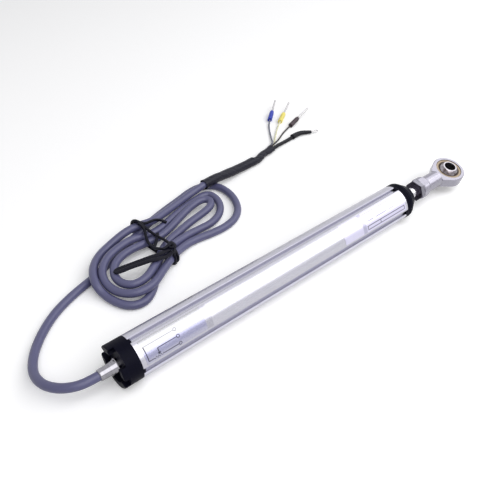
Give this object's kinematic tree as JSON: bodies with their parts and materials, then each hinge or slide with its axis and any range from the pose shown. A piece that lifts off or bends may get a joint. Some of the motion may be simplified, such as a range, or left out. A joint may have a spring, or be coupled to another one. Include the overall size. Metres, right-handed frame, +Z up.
{
  "type": "linear displacement sensor",
  "caption": "Rod-type linear displacement sensor: grooved tube with castellated rear cap, coned front cap, sliding rod with spherical rod end, and a hanked cable with crimped leads.",
  "frame": {"origin": "on the surface that the sensor lies on, midway between the cable ferrule's mouth and the rod end's tip, with the rod pushed in", "axes": "+X along the sensor from cable to rod end, +Z up from the surface, +Y towards the side where the cable lies"},
  "size_m": [0.2477, 0.1413, 0.019],
  "materials": {
    "anodised_aluminium": "satin",
    "cap_plastic": "satin",
    "plated_brass": "polished",
    "rod_steel": "polished",
    "zinc_steel": "satin",
    "race_bronze": "satin",
    "ball_steel": "polished",
    "bush_bronze": "satin",
    "seal_rubber": "matt",
    "carrier_plastic": "matt",
    "element_track": "satin",
    "tinned_copper": "satin",
    "inner_insulation": "matt",
    "carriage_plastic": "matt",
    "contact_metal": "polished",
    "label_film": "gloss",
    "cable_jacket": "satin",
    "tie_plastic": "matt",
    "shrink_sleeve": "satin",
    "blue_insulation": "satin",
    "yellow_insulation": "satin",
    "brown_insulation": "satin",
    "blue_plastic": "satin",
    "yellow_plastic": "satin",
    "brown_plastic": "satin",
    "lead_sleeve": "satin"
  },
  "bodies": {
    "housing": {"tube": "anodised_aluminium", "rear_cap": "cap_plastic", "front_cap": "cap_plastic", "cable_ferrule": "plated_brass", "rod_bush": "bush_bronze", "rod_scraper": "seal_rubber", "front_o_ring": "seal_rubber", "rear_o_ring": "seal_rubber", "element_carrier": "carrier_plastic", "resistive_element": "element_track", "element_terminals": "tinned_copper", "inner_leads": "inner_insulation", "cable_tail": "cable_jacket", "rear_label": "label_film", "front_label": "label_film", "cable": "cable_jacket", "cable_hank": "cable_jacket", "cable_end": "cable_jacket", "cable_tie": "tie_plastic", "outer_sleeve": "shrink_sleeve", "branch_sleeve": "shrink_sleeve", "blue_lead": "blue_insulation", "yellow_lead": "yellow_insulation", "brown_lead": "brown_insulation", "shield_lead": "shrink_sleeve", "blue_collar": "blue_plastic", "yellow_collar": "yellow_plastic", "brown_collar": "brown_plastic", "blue_pin": "tinned_copper", "yellow_pin": "tinned_copper", "brown_pin": "tinned_copper", "shield_sleeve": "lead_sleeve", "shield_tip": "tinned_copper"},
    "carriage": {"wiper_carriage": "carriage_plastic", "wiper_contacts": "contact_metal"},
    "rod_assembly": {"rod": "rod_steel", "rod_clip": "zinc_steel", "lock_nut": "zinc_steel", "rod_end_housing": "zinc_steel", "rod_end_race": "race_bronze"},
    "ball": {"rod_end_ball": "ball_steel"}
  },
  "joints": [
    {"name": "rod_slide", "type": "slide", "parent": "housing", "child": "carriage", "axis": [1, 0, 0], "range_m": [0, 0.1]},
    {"name": "rod_spin", "type": "hinge", "parent": "carriage", "child": "rod_assembly", "pos_m": [0, 0, 0.0095], "axis": [1, 0, 0], "continuous": true},
    {"name": "ball_tilt", "type": "hinge", "parent": "rod_assembly", "child": "ball", "pos_m": [0.10475, 0, 0.0095], "axis": [0, 0.9732, 0.23], "range_deg": [-13, 13]}
  ]
}
